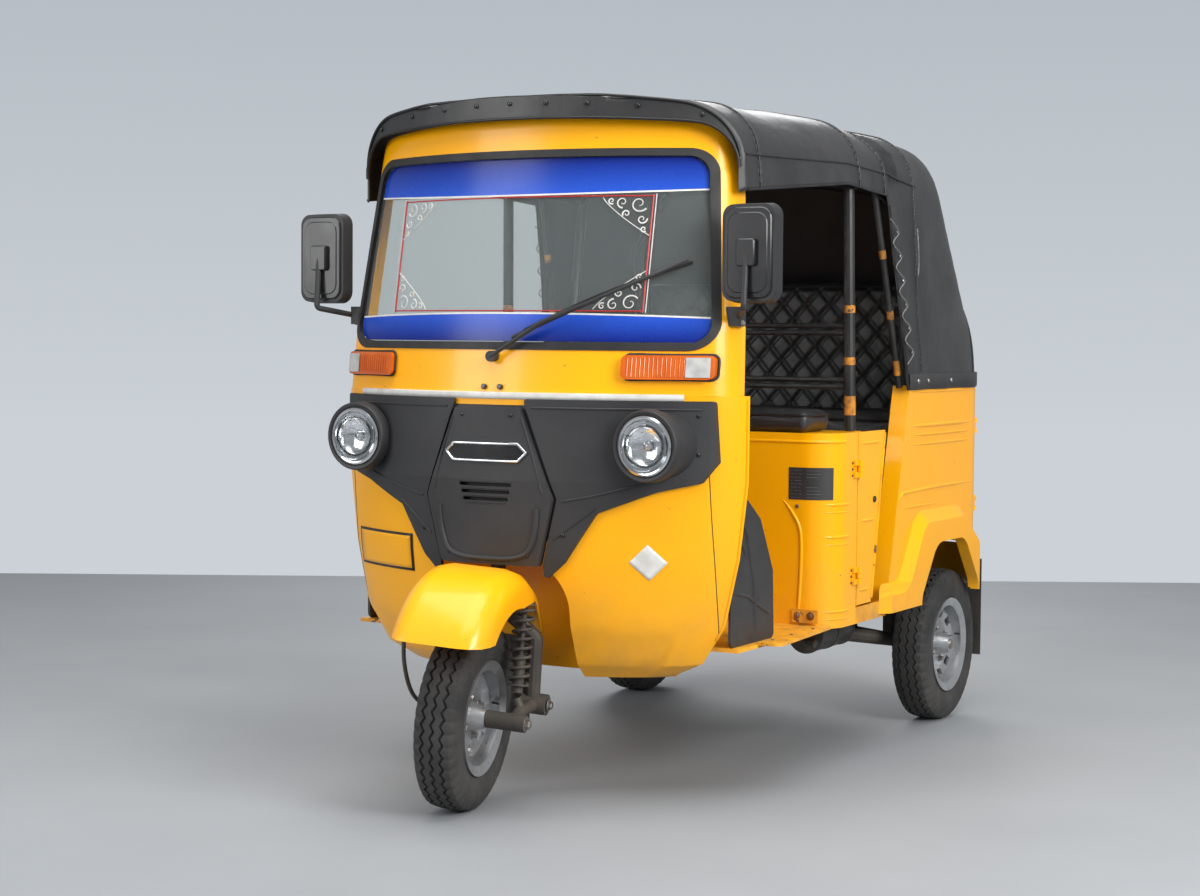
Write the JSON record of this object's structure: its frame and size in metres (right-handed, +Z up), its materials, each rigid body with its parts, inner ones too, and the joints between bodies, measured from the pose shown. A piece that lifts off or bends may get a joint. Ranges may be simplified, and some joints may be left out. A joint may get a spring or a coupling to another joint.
{
  "type": "auto rickshaw",
  "caption": "Three-wheeled passenger taxi: steered front wheel, rounded steel nose, curved windscreen, open cab with black vinyl top, half doors and a hinged tail door.",
  "frame": {"origin": "on the ground at the middle of the bounding box", "axes": "-Y is straight ahead, +X the vehicle's left, +Z up"},
  "size_m": [1.4844, 2.5476, 1.9078],
  "materials": {
    "body_paint": "gloss",
    "black_plastic": "matte",
    "black_paint": "satin",
    "vinyl": "satin",
    "glass": "clear",
    "lamp_glass": "clear",
    "amber": "gloss",
    "red_lamp": "gloss",
    "rubber": "matte",
    "tyre": "matte",
    "wheel_steel": "satin",
    "fork_steel": "satin",
    "engine": "matte"
  },
  "bodies": {
    "body": {"front_shell": "body_paint", "windscreen_surround": "body_paint", "windscreen_glass": "glass", "windscreen_seal": "rubber", "wheel_tunnel": "body_paint", "rear_body": "body_paint", "arch_flares": "body_paint", "seat_box": "body_paint", "floor_pan": "body_paint", "side_steps": "body_paint", "bench_base": "black_paint", "passenger_cushion": "vinyl", "passenger_backrest": "vinyl", "driver_seat": "vinyl", "canopy_frame": "black_paint", "canopy": "vinyl", "fascia_centre": "black_plastic", "fascia_wings": "black_plastic", "headlamps": "lamp_glass", "turn_signals": "amber", "chassis_frame": "black_paint", "engine_block": "engine", "rear_suspension": "fork_steel", "rear_flaps": "rubber", "tail_lamps": "red_lamp", "mirror_heads": "black_plastic", "mirror_arms": "black_plastic", "wiper": "black_plastic", "dashboard": "black_plastic", "footwell_guards": "black_plastic", "silencer": "black_paint"},
    "steering": {"fork": "fork_steel", "handlebar": "black_paint", "front_spring": "fork_steel", "front_mudguard": "body_paint", "front_flap": "rubber"},
    "front_wheel": {"front_tyre": "tyre", "front_rim": "wheel_steel"},
    "rear_wheel_left": {"rear_tyre_left": "tyre", "rear_rim_left": "wheel_steel"},
    "rear_wheel_right": {"rear_tyre_right": "tyre", "rear_rim_right": "wheel_steel"},
    "half_door_left": {"half_door_left": "body_paint"},
    "half_door_right": {"half_door_right": "body_paint"},
    "tail_door": {"tail_door": "body_paint"}
  },
  "joints": [
    {"name": "steering", "type": "hinge", "parent": "body", "child": "steering", "pos_m": [0, -0.85801, 0.50104], "axis": [0, 0.342, 0.9397], "range_deg": [-55, 29]},
    {"name": "front_wheel_spin", "type": "hinge", "parent": "steering", "child": "front_wheel", "pos_m": [0.00601, -0.97936, 0.24381], "axis": [0.9744, 0.2114, -0.0769], "continuous": true},
    {"name": "rear_wheel_left_spin", "type": "hinge", "parent": "body", "child": "rear_wheel_left", "pos_m": [0.54, 0.98, 0.243], "axis": [1, 0, 0], "continuous": true},
    {"name": "rear_wheel_right_spin", "type": "hinge", "parent": "body", "child": "rear_wheel_right", "pos_m": [-0.54, 0.98, 0.243], "axis": [1, 0, 0], "continuous": true},
    {"name": "half_door_left_hinge", "type": "hinge", "parent": "body", "child": "half_door_left", "pos_m": [0.634, 0.125, 0.7], "axis": [0, 0, -1], "range_deg": [0, 100]},
    {"name": "half_door_right_hinge", "type": "hinge", "parent": "body", "child": "half_door_right", "pos_m": [-0.634, 0.125, 0.7], "axis": [0, 0, 1], "range_deg": [0, 100]},
    {"name": "tail_door_hinge", "type": "hinge", "parent": "body", "child": "tail_door", "pos_m": [0.59059, 1.18508, 0.8], "axis": [0, 0, -1], "range_deg": [0, 110]}
  ]
}
